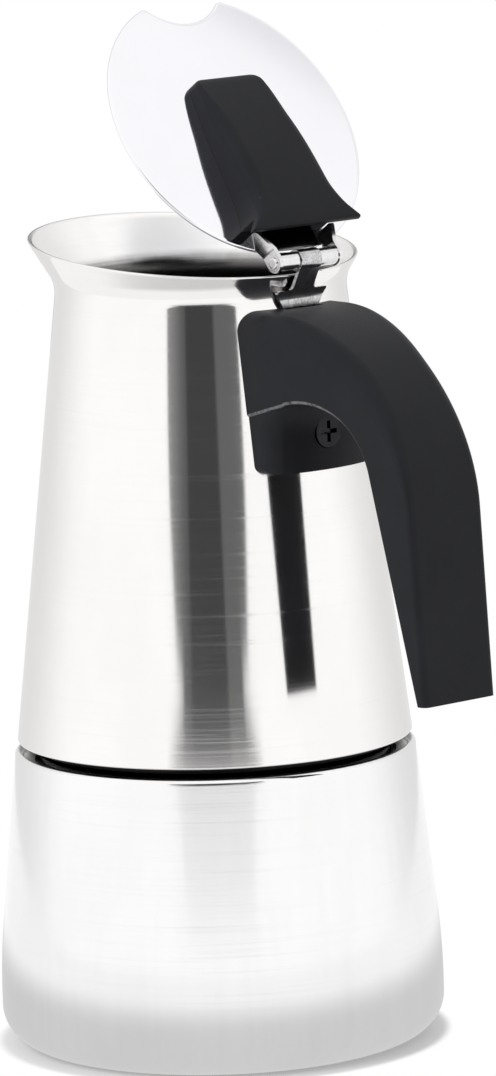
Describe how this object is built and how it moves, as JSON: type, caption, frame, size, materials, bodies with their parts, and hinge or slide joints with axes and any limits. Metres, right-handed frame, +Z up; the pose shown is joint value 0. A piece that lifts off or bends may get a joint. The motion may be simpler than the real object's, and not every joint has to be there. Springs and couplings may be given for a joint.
{
  "type": "moka pot",
  "caption": "Stove-top moka pot in polished steel with a flared jug, flat hinged lid, black moulded handle and knob, screwed to a round boiler with funnel, gasket and safety valve.",
  "frame": {"origin": "Centre of the boiler's flat underside", "axes": "+Z up along the pot's axis, +X towards the handle, -X towards the pouring lip, +Y towards the safety valve"},
  "size_m": [0.1178, 0.0962, 0.2076],
  "materials": {
    "satin_steel": "fine satin brushing round the axis",
    "polished_steel": "polished, with very fine brushing round the axis",
    "lid_mirror_steel": "mirror polish",
    "hinge_steel": "bright stamped sheet",
    "inner_steel": "plain drawn sheet",
    "dark_steel": "black oxide",
    "valve_brass": "turned brass",
    "seal_silicone": "white silicone",
    "black_plastic": "satin moulded, heat proof"
  },
  "bodies": {
    "boiler": {"boiler_shell": "satin_steel", "safety_valve_body": "valve_brass", "safety_valve_washer": "seal_silicone", "safety_valve_nut": "valve_brass", "safety_valve_retainer": "inner_steel", "safety_valve_spring": "inner_steel", "funnel": "inner_steel", "funnel_sieve": "inner_steel"},
    "valve_plug": {"safety_valve_pin": "inner_steel"},
    "seal": {"gasket": "seal_silicone", "filter_plate": "inner_steel"},
    "jug": {"collector_shell": "polished_steel", "threaded_collar": "inner_steel", "collector_floor": "inner_steel", "chimney": "inner_steel", "chimney_cap": "inner_steel", "hinge_bracket": "hinge_steel", "handle": "black_plastic", "handle_stud": "inner_steel", "handle_screw": "dark_steel"},
    "lid": {"lid_disc": "lid_mirror_steel", "lid_hinge_leaf": "hinge_steel", "lid_knob": "black_plastic", "lid_screws": "hinge_steel", "hinge_pin": "hinge_steel", "hinge_sleeves": "hinge_steel"}
  },
  "joints": [
    {"name": "jug_lift", "type": "slide", "parent": "boiler", "child": "seal", "axis": [0, 0, 1], "range_m": [0, 0.0045]},
    {"name": "jug_turn", "type": "hinge", "parent": "seal", "child": "jug", "pos_m": [0, 0, 0.0676], "axis": [0, 0, 1], "range_deg": [0, 540]},
    {"name": "lid_hinge", "type": "hinge", "parent": "jug", "child": "lid", "pos_m": [0.03168, 0, 0.15952], "axis": [0, 1, 0], "range_deg": [-56.3, 44]},
    {"name": "valve_lift", "type": "slide", "parent": "boiler", "child": "valve_plug", "axis": [0, 1, 0], "range_m": [0, 0.0012], "stiffness_N_per_m": 900, "springref_m": -0.003, "deforming": ["safety_valve_spring"]}
  ],
  "couplings": [
    {"joint": "jug_lift", "follows": "jug_turn", "m_per_rad": 0.000477}
  ]
}
